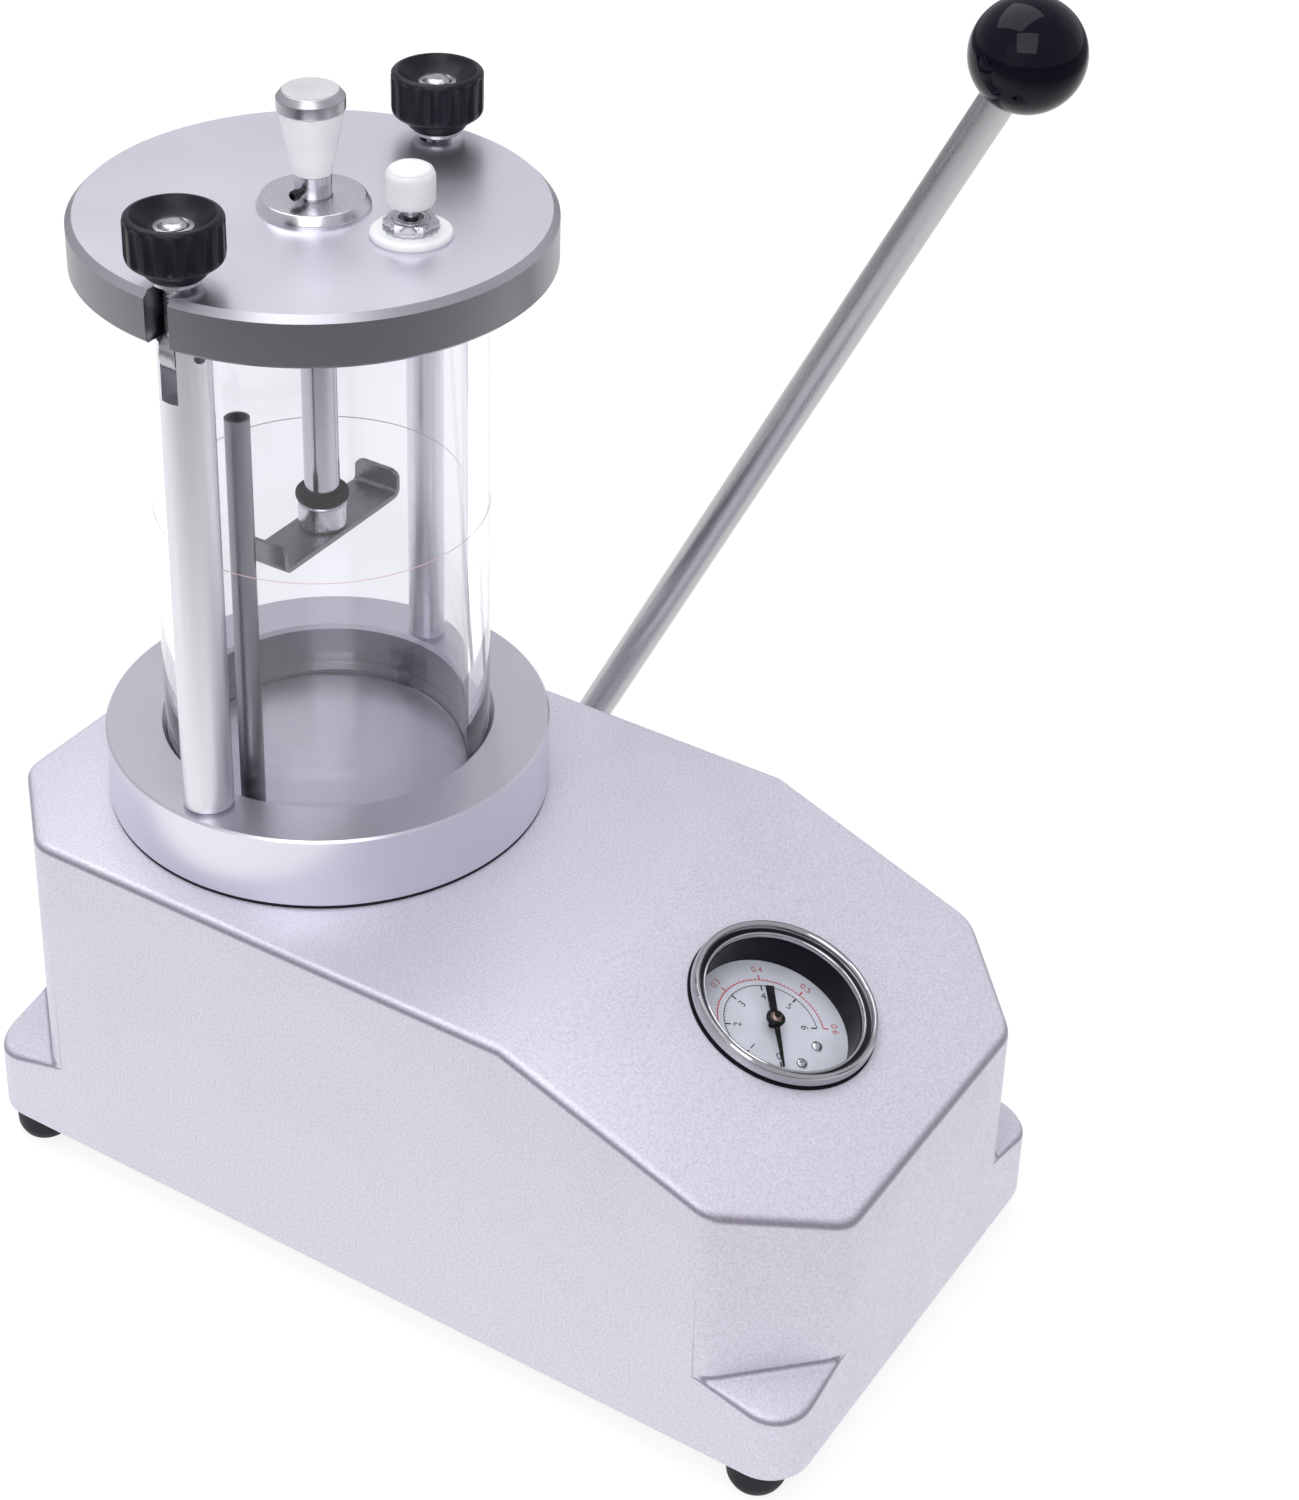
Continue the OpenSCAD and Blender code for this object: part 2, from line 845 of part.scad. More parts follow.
// Non-return valve, then a hose to the chamber pipe and one to the gauge
module air_line() {
    hose_r = 3.6;
    bend = 12;
    low_z = 26;
    stem = case_d + 8;
    stem_y = gauge_y + stem * sin(slope);
    stem_z = gauge_z - stem * cos(slope);
    color("darkgoldenrod") {
        bar_y(6, valve_x, wire_y - 8, 16, pin_zc);
        bar_x(3.5, valve_x, -18 - valve_x, wire_y, pin_zc);
    }
    color([0.1, 0.1, 0.1]) {
        bar_y(hose_r, valve_x, wire_y + 7, chamber_y - bend - wire_y - 7, pin_zc);
        translate([valve_x, chamber_y - bend, pin_zc + bend])
            rotate([90, 0, 90])
            rotate([0, 0, -90])
            rotate_extrude(angle = 90)
            translate([bend, 0]) circle(r = hose_r);
        translate([valve_x, chamber_y, pin_zc + bend]) cylinder(r = hose_r, h = pipe_low - pin_zc - bend);
        translate([valve_x, wire_y, low_z]) cylinder(r = 2.4, h = pin_zc - 5 - low_z);
        translate([valve_x, wire_y, low_z]) sphere(r = 2.4);
        bar_y(2.4, valve_x, stem_y, wire_y - stem_y, low_z);
        translate([valve_x, stem_y, low_z]) sphere(r = 2.4);
        bar_x(2.4, valve_x, -valve_x, stem_y, low_z);
        translate([0, stem_y, low_z]) sphere(r = 2.4);
        translate([0, stem_y, low_z]) cylinder(r = 2.4, h = stem_z - low_z - 2);
    }
}

placed() housing();
placed() bottom_plate();
placed() bottom_screws();
placed() foot(0);  // foot_front_left
placed() foot(2);  // foot_front_right
placed() foot(1);  // foot_rear_left
placed() foot(3);  // foot_rear_right
placed() chamber_ring();
placed() ring_gasket();
placed() ring_screws();
placed() tube_seal();
placed() chamber_tube();
placed() air_pipe();
placed() post(-1);  // post_left
placed() post(1);  // post_right
placed() hinge_pins();
placed() lid();
placed() lid_gasket();
placed() gland_bush();
placed() gland_seal();
placed() holder_rod();
placed() handle();
placed() handle_set_screw();
placed() bumper_ring();
placed() rod_end_cap();
placed() holder_strip();
placed() swing_bolt(-1);  // swing_bolt_left
placed() swing_bolt(1);  // swing_bolt_right
placed() clamp_washer(-1);  // clamp_washer_left
placed() clamp_washer(1);  // clamp_washer_right
placed() clamp_knob(-1);  // clamp_knob_left
placed() clamp_knob(1);  // clamp_knob_right
placed() knob_insert(-1);  // knob_insert_left
placed() knob_insert(1);  // knob_insert_right
placed() valve_washer();
placed() valve_nut();
placed() valve_body();
placed() valve_stem();
placed() valve_button();
placed() gauge_case();
placed() gauge_bezel();
placed() gauge_lens();
placed() gauge_dial();
placed() dial_screws();
placed() gauge_pointer();
placed() gauge_clamp();
placed() lever_rod();
placed() ball_knob();
placed() lever_hub();
placed() cross_shaft();
placed() shaft_bushes();
placed() shaft_clip();
placed() bearing_block();
placed() crank_arm();
placed() crank_pin();
placed() piston_rod();
placed() piston();
placed() piston_seal();
placed() pump_cylinder();
placed() air_line();
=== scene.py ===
"""Looks of a hand-pumped water resistance tester for watches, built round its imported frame."""
import json
import math

import bmesh
import bpy
from mathutils import Matrix, Vector


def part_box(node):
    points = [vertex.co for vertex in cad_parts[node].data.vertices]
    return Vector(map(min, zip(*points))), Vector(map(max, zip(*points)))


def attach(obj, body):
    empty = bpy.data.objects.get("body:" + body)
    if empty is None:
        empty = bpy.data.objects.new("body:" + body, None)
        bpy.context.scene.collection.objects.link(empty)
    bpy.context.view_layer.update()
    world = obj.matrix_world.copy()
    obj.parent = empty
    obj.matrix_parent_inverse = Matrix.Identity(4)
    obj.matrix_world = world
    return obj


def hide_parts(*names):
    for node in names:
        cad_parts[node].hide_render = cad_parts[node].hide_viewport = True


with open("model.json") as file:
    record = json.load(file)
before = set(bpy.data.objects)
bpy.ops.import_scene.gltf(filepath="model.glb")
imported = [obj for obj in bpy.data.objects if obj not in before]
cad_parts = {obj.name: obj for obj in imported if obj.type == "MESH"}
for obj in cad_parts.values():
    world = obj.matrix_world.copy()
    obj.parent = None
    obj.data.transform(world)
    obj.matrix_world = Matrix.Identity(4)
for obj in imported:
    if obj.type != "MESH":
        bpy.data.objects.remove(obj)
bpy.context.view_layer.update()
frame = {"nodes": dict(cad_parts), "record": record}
NODES = frame["nodes"]
MM = 0.001


def middle(node):
    lo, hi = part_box(node)
    return (lo + hi) / 2


# Main axes and heights of the object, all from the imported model
HOUSE_LO, HOUSE_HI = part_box("housing")
MID_X = (HOUSE_LO.x + HOUSE_HI.x) / 2
AXIS = middle("chamber_ring")
LID_LO, LID_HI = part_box("lid")
FOOT_H = HOUSE_LO.z
HW = (HOUSE_HI.x - HOUSE_LO.x) / 2
HL = (HOUSE_HI.y - HOUSE_LO.y) / 2
TOP = HOUSE_HI.z

# The housing's outline: crease between flat and sloped top, height of the front edge, size of
# the cut corners, height of the corner ledges, and the dial's distance from the crease
CREASE_Y = -38 * MM
NOSE = 67.9 * MM
CUT = 22.3 * MM
LEDGE = 29.2 * MM
DIAL_DOWN = 37.7 * MM
SLOPE = math.atan((TOP - NOSE) / (HL + CREASE_Y))
DIAL_MID = Vector((MID_X, CREASE_Y - DIAL_DOWN * math.cos(SLOPE), TOP - DIAL_DOWN * math.sin(SLOPE)))
GAUGE = Matrix.Translation(DIAL_MID) @ Matrix.Rotation(SLOPE, 4, "X")


# ---- materials ----

class Mat:
    """A Principled material with helpers for procedural detail in object space."""

    def __init__(self, name, color, rough=0.4, metal=0.0, **sockets):
        self.name = name
        self.mat = bpy.data.materials.new(name)
        self.mat.use_nodes = True
        self.tree = self.mat.node_tree
        self.bsdf = self.tree.nodes["Principled BSDF"]
        self.bsdf.inputs["Base Color"].default_value = (*color, 1)
        self.bsdf.inputs["Roughness"].default_value = rough
        self.bsdf.inputs["Metallic"].default_value = metal
        for key, value in sockets.items():
            self.bsdf.inputs[key.replace("_", " ")].default_value = value
        self.mat.diffuse_color = (*color, 1)
        self.coord = None

    def node(self, kind, **values):
        n = self.tree.nodes.new(kind)
        for key, value in values.items():
            if key in n.inputs:
                n.inputs[key].default_value = value
            else:
                setattr(n, key, value)
        return n

    def link(self, a, b):
        self.tree.links.new(a, b)

    def space(self, scale=(1, 1, 1), shift=(0, 0, 0)):
        """Object coordinates in millimetres, scaled and then shifted."""
        if self.coord is None:
            self.coord = self.node("ShaderNodeTexCoord")
        m = self.node("ShaderNodeMapping")
        m.inputs["Location"].default_value = shift
        m.inputs["Scale"].default_value = [1000 * s for s in scale]
        self.link(self.coord.outputs["Object"], m.inputs["Vector"])
        return m.outputs["Vector"]

    def noise(self, scale, detail=2.0, rough=0.5, stretch=(1, 1, 1)):
        n = self.node("ShaderNodeTexNoise", Scale=scale, Detail=detail, Roughness=rough)
        self.link(self.space(stretch), n.inputs["Vector"])
        return n.outputs["Fac"]

    def ramp(self, fac, stops):
        r = self.node("ShaderNodeValToRGB")
        e = r.color_ramp.elements
        while len(e) < len(stops):
            e.new(0.5)
        for item, (pos, col) in zip(e, stops):
            item.position = pos
            item.color = (*col, 1)
        self.link(fac, r.inputs["Fac"])
        return r.outputs["Color"]

    def span(self, fac, low, high, a=0.0, b=1.0):
        """Turn the range a to b of fac into low to high."""
        m = self.node("ShaderNodeMapRange")
        m.inputs["From Min"].default_value = a
        m.inputs["From Max"].default_value = b
        m.inputs["To Min"].default_value = low
        m.inputs["To Max"].default_value = high
        self.link(fac, m.inputs["Value"])
        return m.outputs["Result"]

    def color_by(self, fac, stops):
        self.link(self.ramp(fac, stops), self.bsdf.inputs["Base Color"])

    def rough_by(self, fac, low, high, a=0.3, b=0.7):
        self.link(self.span(fac, low, high, a, b), self.bsdf.inputs["Roughness"])

    def bump(self, fac, height_mm, strength=1.0):
        b = self.node("ShaderNodeBump", Strength=strength, Distance=height_mm * MM)
        self.link(fac, b.inputs["Height"])
        old = self.bsdf.inputs["Normal"]
        if old.is_linked:
            self.link(old.links[0].from_socket, b.inputs["Normal"])
        self.link(b.outputs["Normal"], self.bsdf.inputs["Normal"])

    def upward(self, normal):
        """How far the surface faces up, from -1 to 1."""
        geo = self.node("ShaderNodeNewGeometry")
        part = self.node("ShaderNodeSeparateXYZ")
        self.link(geo.outputs[normal], part.inputs["Vector"])
        return part.outputs["Z"]

    def both(self, a, b):
        product = self.node("ShaderNodeMath", operation="MULTIPLY")
        self.link(a, product.inputs[0])
        self.link(b, product.inputs[1])
        return product.outputs["Value"]

    def darken(self, where, tone):
        """Multiply the colour by tone, as far as where says."""
        color = self.bsdf.inputs["Base Color"]
        mix = self.node("ShaderNodeMix", data_type="RGBA", blend_type="MULTIPLY")
        self.link(where, mix.inputs["Factor"])
        self.link(color.links[0].from_socket, mix.inputs["A"])
        mix.inputs["B"].default_value = (*tone, 1)
        self.link(mix.outputs["Result"], color)


# Turned metal nearer the chamber axis than this, in millimetres, gets painted shade as the hole's wall
SHADE_R = 39.2


def gray(v, blue):
    return (v, v * 0.99, min(1.0, v * blue))


def tint(color, k):
    return tuple(min(1.0, c * k) for c in color)


def metal(name, value, rough, blue=1.05, stretch=(1, 1, 1), grain=4.0, wear=0.1, lift=0.004):
    """Machined or drawn metal: streaks along one direction, patchy roughness, a faint bump."""
    col = gray(value, blue)
    m = Mat(name, col, rough, 1.0)
    streak = m.noise(grain, 3.0, 0.6, stretch)
    m.color_by(streak, [(0.25, tint(col, 1 - wear)), (0.75, tint(col, 1 + wear * 0.6))])
    m.rough_by(streak, rough * 0.85, rough * 1.2)
    m.bump(streak, lift)
    return m


def cast_paint():
    """Silver hammered stoving paint: fine sandy orange peel, with painted shade round the upper edges."""
    base = gray(0.66, 1.12)
    m = Mat("cast_paint", base, 0.42, 0.35)
    m.bsdf.inputs["Coat Weight"].default_value = 0.15
    m.bsdf.inputs["Coat Roughness"].default_value = 0.3
    fine = m.noise(1.6, 3.0, 0.62)
    wide = m.noise(0.05, 2.0, 0.5)
    v = m.node("ShaderNodeTexVoronoi", Scale=1.5)
    m.link(m.space(), v.inputs["Vector"])
    m.color_by(fine, [(0.32, tint(base, 0.86)), (0.5, base), (0.70, tint(base, 1.12))])
    up = m.upward("Normal")
    # Painted shade: faces that lean between upright and flat, the rounded upper edges, are darkened
    painted_edge_shade = m.both(m.span(up, 0.0, 1.0, 0.12, 0.35), m.span(up, 0.0, 1.0, 0.86, 0.55))
    m.darken(painted_edge_shade, (0.46, 0.42, 0.46))
    m.rough_by(wide, 0.38, 0.48)
    m.bump(v.outputs["Distance"], 0.03, 0.5)
    m.bump(fine, 0.05, 0.6)
    return m


def plastic(name, color, rough, grain=2.0, lift=0.01, **more):
    m = Mat(name, color, rough, 0.0, **more)
    n = m.noise(grain, 3.0, 0.6)
    wide = m.noise(0.12, 2.0, 0.5)
    m.color_by(wide, [(0.3, tint(color, 0.93)), (0.7, tint(color, 1.05))])
    m.rough_by(wide, rough * 0.88, rough * 1.15)
    m.bump(n, lift)
    return m


def acrylic():
    m = Mat("acrylic", (0.925, 0.925, 0.955), 0.01, 0.0)
    m.bsdf.inputs["Transmission Weight"].default_value = 1.0
    m.bsdf.inputs["IOR"].default_value = 1.14
    m.bsdf.inputs["Coat Weight"].default_value = 1.0
    n = m.noise(0.06, 1.0, 0.4, (1, 1, 0.3))
    m.bump(n, 0.02, 0.15)
    return m


def lens():
    m = Mat("lens_glass", (1, 1, 1), 0.01, 0.0)
    m.bsdf.inputs["Transmission Weight"].default_value = 1.0
    m.bsdf.inputs["IOR"].default_value = 1.04
    m.rough_by(m.noise(0.2, 1.0), 0.008, 0.02)
    return m


def turned(name, value, rough, blue, lift, side=1.0, face_shade=1.0, bore_shade=1.0):
    """Lathe-turned metal with tool marks round the chamber axis.

    side, face and bore paint shade: they darken outer walls, flat tops and the wall of the chamber's hole.
    """
    col = gray(value, blue)
    wear = 0.03
    m = Mat(name, col, rough, 1.0)
    centre = (-AXIS.x * 1000, -AXIS.y * 1000, 0)
    wave = m.node("ShaderNodeTexWave", Scale=2.2, Distortion=0.6, wave_type="RINGS", rings_direction="Z")
    wave.inputs["Detail"].default_value = 2.0
    m.link(m.space(shift=centre), wave.inputs["Vector"])
    wide = m.noise(0.03, 2.0, 0.5)
    fine = m.noise(3.0, 2.0, 0.6)
    m.color_by(fine, [(0.3, tint(col, 1 - wear)), (0.7, tint(col, 1 + wear))])
    flat = m.node("ShaderNodeVectorMath", operation="MULTIPLY")
    m.link(m.space(shift=centre), flat.inputs[0])
    flat.inputs[1].default_value = (1, 1, 0)
    far = m.node("ShaderNodeVectorMath", operation="LENGTH")
    m.link(flat.outputs["Vector"], far.inputs[0])
    up = m.upward("True Normal")
    hole = m.span(far.outputs["Value"], 0.0, 1.0, SHADE_R + 0.4, SHADE_R)
    # Painted shade, chosen by which way the surface faces and how near it is to the axis
    painted_shades = [
        (m.span(up, 0.0, 1.0, 0.95, 0.55), side),
        (m.span(up, 0.0, 1.0, 0.6, 0.95), face_shade),
        (m.both(hole, m.span(up, 0.0, 1.0, 0.8, 0.5)), bore_shade),
    ]
    for where, share in painted_shades:
        m.darken(where, (share * 1.01, share * 0.99, share))
    m.rough_by(wide, rough * 0.95, rough * 1.08)
    m.bump(wave.outputs["Fac"], lift)
    return m


def worn_bronze():
    m = Mat("bronze", (0.26, 0.19, 0.17), 0.22, 1.0)
    m.rough_by(m.noise(1.0), 0.3, 0.5)
    return m


LOOKS = [
    cast_paint(),
    metal("zinc_plate", 0.42, 0.38, 1.1, grain=0.8, wear=0.2),
    metal("post_aluminium", 0.80, 0.36, 1.05, (1, 1, 0.02), 1.2, 0.015, 0.0006),
    metal("pipe_steel", 0.32, 0.34, 1.06, (1, 1, 0.05), 3.0, 0.12),
    metal("polished_steel", 0.56, 0.16, 1.06, (1, 1, 0.2), 2.0, 0.03, 0.001),
    metal("satin_steel", 0.66, 0.24, 1.06, (1, 1, 0.2), 2.0, 0.03, 0.00005),
    metal("band_steel", 0.50, 0.32, 1.06, (1, 1, 0.2), 2.0, 0.03, 0.00005),
    metal("black_steel", 0.05, 0.35, 1.1, grain=1.0, wear=0.2),
    metal("strip_steel", 0.24, 0.30, 1.05, (0.1, 1.0, 1.0), 1.5, 0.03, 0.0008),
    metal("screw_steel", 0.50, 0.28, 1.05, grain=1.2, wear=0.1),
    metal("lever_steel", 0.50, 0.30, 1.02, grain=2.5, wear=0.10, lift=0.004),
    metal("chrome", 0.50, 0.07, 1.04, grain=1.0, wear=0.02, lift=0.0006),
    metal("pump_aluminium", 0.55, 0.32, 1.04, grain=1.0, wear=0.1),
    # Painted shade on the ring's flat tops and the wall of its hole, and on the lid's outer wall
    turned("ring_aluminium", 0.78, 0.30, 1.08, 0.0005, face_shade=0.8, bore_shade=0.25),
    turned("lid_aluminium", 0.80, 0.32, 1.08, 0.0002, side=0.30),
    worn_bronze(),
    acrylic(),
    lens(),
    plastic("rubber", (0.007, 0.007, 0.012), 0.6, 1.5, 0.02, Specular_IOR_Level=0.3),
    plastic("handle_aluminium", (0.96, 0.96, 0.98), 0.42, 1.5, 0.002),
    plastic("black_plastic", (0.006, 0.007, 0.013), 0.34, 2.5, 0.01, Specular_IOR_Level=0.25),
    plastic("white_plastic", (0.82, 0.82, 0.83), 0.33, 1.0, 0.004,
            Subsurface_Weight=0.15, Subsurface_Scale=0.002),
    plastic("gauge_black", (0.004, 0.004, 0.008), 0.4, 1.0, 0.004, Specular_IOR_Level=0.15),
    plastic("dial_white", (0.68, 0.71, 0.79), 0.5, 3.0, 0.002),
    plastic("pointer_black", (0.004, 0.004, 0.006), 0.45, 2.0, 0.002, Specular_IOR_Level=0.2),
    plastic("gloss_black", (0.003, 0.003, 0.009), 0.05, 0.4, 0.001, Specular_IOR_Level=0.16),
    plastic("hose_black", (0.02, 0.02, 0.022), 0.5, 1.5, 0.02),
    plastic("print_black", (0.01, 0.01, 0.012), 0.5, 2.0, 0.001),
    plastic("print_red", (0.55, 0.03, 0.06), 0.5, 2.0, 0.001),
    plastic("line_red", (0.92, 0.68, 0.72), 0.5, 2.0, 0.001),
    plastic("satin_white", (0.52, 0.52, 0.54), 0.5, 1.0, 0.002),
    plastic("seal_gray", (0.10, 0.10, 0.13), 0.4, 1.5, 0.004),
]
M = {look.name: look for look in LOOKS}

for part in frame["record"]["subparts"]:
    obj = NODES[part["node"]]
    chosen = M[part["material_slot"]].mat
    if not obj.material_slots:
        obj.data.materials.append(chosen)
    for s in obj.material_slots:
        s.link = "OBJECT"
        s.material = chosen


# ---- mesh helpers ----

def add(name, bm, material, body, smooth=35):
    mesh = bpy.data.meshes.new(name)
    bm.to_mesh(mesh)
    bm.free()
    for p in mesh.polygons:
        p.use_smooth = True
    mesh.set_sharp_from_angle(angle=math.radians(smooth))
    obj = bpy.data.objects.new(name, mesh)
    bpy.context.scene.collection.objects.link(obj)
    mesh.materials.append(M[material].mat)
    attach(obj, body)
    return obj


def apply_modifiers(obj):
    dg = bpy.context.evaluated_depsgraph_get()
    made = bpy.data.meshes.new_from_object(obj.evaluated_get(dg))
    obj.modifiers.clear()
    obj.data = made


def loose(name, bm):
    mesh = bpy.data.meshes.new(name)
    bm.to_mesh(mesh)
    bm.free()
    obj = bpy.data.objects.new(name, mesh)
    bpy.context.scene.collection.objects.link(obj)
    return obj


def combine(target, tool, operation):
    mod = target.modifiers.new("cut", "BOOLEAN")
    mod.operation = operation
    mod.solver = "EXACT"
    mod.object = tool
    apply_modifiers(target)
    bpy.data.objects.remove(tool)


def cylinder_bm(r, z0, z1, matrix):
    bm = bmesh.new()
    bmesh.ops.create_cone(bm, cap_ends=True, segments=64, radius1=r, radius2=r, depth=z1 - z0)
    bmesh.ops.translate(bm, verts=bm.verts, vec=(0, 0, (z0 + z1) / 2))
    bmesh.ops.transform(bm, matrix=matrix, verts=bm.verts)
    return bm


def rounded(points, steps=4):
    """Profile points (r, z) or (r, z, leg), in millimetres, the third number rounding that corner."""
    out = []
    for i, p in enumerate(points):
        if len(p) < 3:
            out.append(tuple(p))
            continue
        b = Vector(p[:2])
        u = (Vector(points[i - 1][:2]) - b).normalized() * p[2]
        v = (Vector(points[(i + 1) % len(points)][:2]) - b).normalized() * p[2]
        for k in range(steps + 1):
            t = k / steps
            out.append(tuple(b + u * (1 - t) ** 2 + v * t ** 2))
    return out


def plan(d=0.0, soft=0.0):
    """Octagon of the housing, moved in by d, its corners rounded by radius soft, round (0, 0)."""
    w, h = HW - d, HL - d
    c = CUT - d * (2 - math.sqrt(2))
    sharp = [(w, -h + c), (w, h - c), (w - c, h), (-w + c, h)]
    sharp += [(-x, -y) for x, y in sharp]
    if not soft:
        return sharp
    leg = soft * math.tan(math.pi / 8)
    return rounded([(x, y, leg) for x, y in sharp], 6)


def top_at(y, d):
    """Height of the housing's top at y, moved in by d."""
    return min(TOP - d, TOP - d / math.cos(SLOPE) - math.tan(SLOPE) * (CREASE_Y - y))


def body_bm(d, z0, soft=0.0):
    """Octagonal prism with the flat and the sloped top, moved in by d."""
    bm = bmesh.new()
    knee = CREASE_Y - (d / math.cos(SLOPE) - d) / math.tan(SLOPE)
    pts = []
    for x, y in plan(d, soft):
        pts.append((x, y, z0))
        pts.append((x, y, top_at(y, d)))
    for x in (-(HW - d), HW - d):
        pts.append((x, knee, TOP - d))
    for p in pts:
        bm.verts.new((p[0] + MID_X, p[1], p[2]))
    bmesh.ops.convex_hull(bm, input=bm.verts)
    bmesh.ops.dissolve_limit(bm, angle_limit=0.01, verts=bm.verts, edges=bm.edges)
    return bm


def plinth_bm():
    """Rounded plinth, its top falling outwards at the four corners, with a soft border."""
    bm = bmesh.new()
    corner, border, steps = 10 * MM, 1.5 * MM, 12
    cap = LEDGE + 1 * MM
    fall = math.tan(math.radians(18))
    mid = HW - CUT / 2 + HL - CUT / 2
    inner = mid - (cap - LEDGE) / fall * math.sqrt(2)
    for sx in (-1, 1):
        for sy in (-1, 1):
            for step in range(5):
                t = math.pi / 8 * step
                inset, drop = border * (1 - math.cos(t)), border * (1 - math.sin(t))
                q = corner - inset
                spots = [(HW - corner + q * math.cos(a), HL - corner + q * math.sin(a)) for a in
                         [math.pi / 2 * k / steps for k in range(steps + 1)]]
                spots += [(HW - inset, inner - HW), (inner - HL, HL - inset)]
                for x, y in spots:
                    top = min(cap, LEDGE - (x + y - mid) / math.sqrt(2) * fall)
                    bm.verts.new((MID_X + sx * x, sy * y, top - drop))
                    if step == 0:
                        bm.verts.new((MID_X + sx * x, sy * y, FOOT_H))
    bmesh.ops.convex_hull(bm, input=bm.verts)
    bmesh.ops.dissolve_limit(bm, angle_limit=0.01, verts=bm.verts, edges=bm.edges)
    return bm


WALL = 4 * MM
CORNER_R = 9 * MM
EDGE_ROUND = 2.1 * MM
GAUGE_HOLE_R = 19.9 * MM
SHAFT_HOLE_R = 8 * MM


def housing():
    """Hollow casting: outer form with rounded edges, less the cavity and the two round holes."""
    body = loose("housing_shell", body_bm(0, FOOT_H, CORNER_R))
    combine(body, loose("plinth", plinth_bm()), "UNION")
    bm = bmesh.new()
    bm.from_mesh(body.data)
    bmesh.ops.remove_doubles(bm, verts=bm.verts, dist=1e-6)
    bmesh.ops.dissolve_limit(bm, angle_limit=0.01, verts=bm.verts, edges=bm.edges)
    weight = bm.edges.layers.float.new("bevel_weight_edge")
    for e in bm.edges:
        bend = e.calc_face_angle()
        high = min(v.co.z for v in e.verts)
        if high > NOSE - 0.002 and bend > 0.6:
            e[weight] = 1.0
        elif not e.is_convex and bend > 0.6 and high > LEDGE - 0.004:
            e[weight] = 0.6
    bm.to_mesh(body.data)
    bm.free()
    mod = body.modifiers.new("round", "BEVEL")
    mod.limit_method = "WEIGHT"
    mod.width = EDGE_ROUND
    mod.segments = 5
    mod.use_clamp_overlap = False
    apply_modifiers(body)
    combine(body, loose("cavity", body_bm(WALL, FOOT_H - 1 * MM)), "DIFFERENCE")
    gauge_hole = cylinder_bm(GAUGE_HOLE_R, -15 * MM, 6 * MM, GAUGE)
    combine(body, loose("gauge_hole", gauge_hole), "DIFFERENCE")
    lever = middle("cross_shaft")
    side = Matrix.Translation((HOUSE_HI.x, lever.y, lever.z)) @ Matrix.Rotation(math.pi / 2, 4, "Y")
    shaft_hole = cylinder_bm(SHAFT_HOLE_R, -8 * MM, 6 * MM, side)
    combine(body, loose("shaft_hole", shaft_hole), "DIFFERENCE")
    for p in body.data.polygons:
        p.use_smooth = True
    body.data.set_sharp_from_angle(angle=math.radians(32))
    body.data.materials.clear()
    body.data.materials.append(M["cast_paint"].mat)
    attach(body, "base")
    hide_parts("housing")
    return body


housing()


# ---- turned pieces ----

def lathe(profile, matrix=Matrix(), seg=96, closed=False, shape=None, bm=None):
    """Turned body from (r, z) in millimetres; shape(r, z, angle) may change the radius."""
    bm = bm or bmesh.new()
    rows = []
    for r, z in profile:
        row = []
        for k in range(1 if r < 1e-6 else seg):
            a = 2 * math.pi * k / seg
            q = shape(r, z, a) if shape else r
            spot = Vector((q * MM * math.cos(a), q * MM * math.sin(a), z * MM))
            row.append(bm.verts.new(matrix @ spot))
        rows.append(row)
    pairs = list(zip(rows, rows[1:]))
    if closed:
        pairs.append((rows[-1], rows[0]))
    made = []
    for lo, hi in pairs:
        for k in range(seg):
            j = (k + 1) % seg
            loop = [lo[k % len(lo)], lo[j % len(lo)], hi[j % len(hi)], hi[k % len(hi)]]
            loop = [v for i, v in enumerate(loop) if v not in loop[:i]]
            if len(loop) > 2:
                made.append(bm.faces.new(loop))
    bmesh.ops.recalc_face_normals(bm, faces=made)
    return bm


def stand(x, y, z=0.0):
    return Matrix.Translation((x, y, z))


# Top and underside of the lid, in millimetres
T = LID_HI.z / MM
L = LID_LO.z / MM
AT_CHAMBER = stand(AXIS.x, AXIS.y)
VALVE = middle("valve_button")
AT_VALVE = stand(VALVE.x, VALVE.y)


def turned_piece(name, points, material, body, nodes=(), matrix=AT_CHAMBER,
                 closed=False, seg=96, shape=None):
    """Lathe a profile, put it on a body and say which CAD nodes it stands in for."""
    bm = lathe(rounded(points), matrix, seg, closed, shape)
    obj = add(name, bm, material, body)
    if nodes:
        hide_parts(*nodes)
    return obj


# Feet
for where in ("front_left", "front_right", "rear_left", "rear_right"):
    node = "foot_" + where
    spot = middle(node)
    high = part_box(node)[1].z / MM
    foot = [(2.0, high - 3), (3.5, high - 3, 0.2), (3.5, 0, 0.3), (5.4, 0, 0.7), (6.7, 2.4, 1.0),
            (6.95, high, 0.1), (2.0, high)]
    turned_piece("rubber_foot_" + where, foot, "rubber", "base", [node],
                 matrix=stand(spot.x, spot.y), closed=True, seg=64)


# Clamp knobs
KNOB_R = 10.4
FLUTES = 16
FLUTE_DEPTH = 0.7


def flute(r, z, a):
    """Shallow grooves round the knob, running out towards both ends."""
    t = abs((a * FLUTES / (2 * math.pi)) % 1 - 0.5) / 0.33
    ends = min(1.0, max(0.0, (z - T - 6.2) / 1.2), max(0.0, (T + 15.1 - z) / 1.1))
    depth = FLUTE_DEPTH * max(0.0, 1 - t * t) * math.sqrt(ends)
    return min(r, KNOB_R - depth)


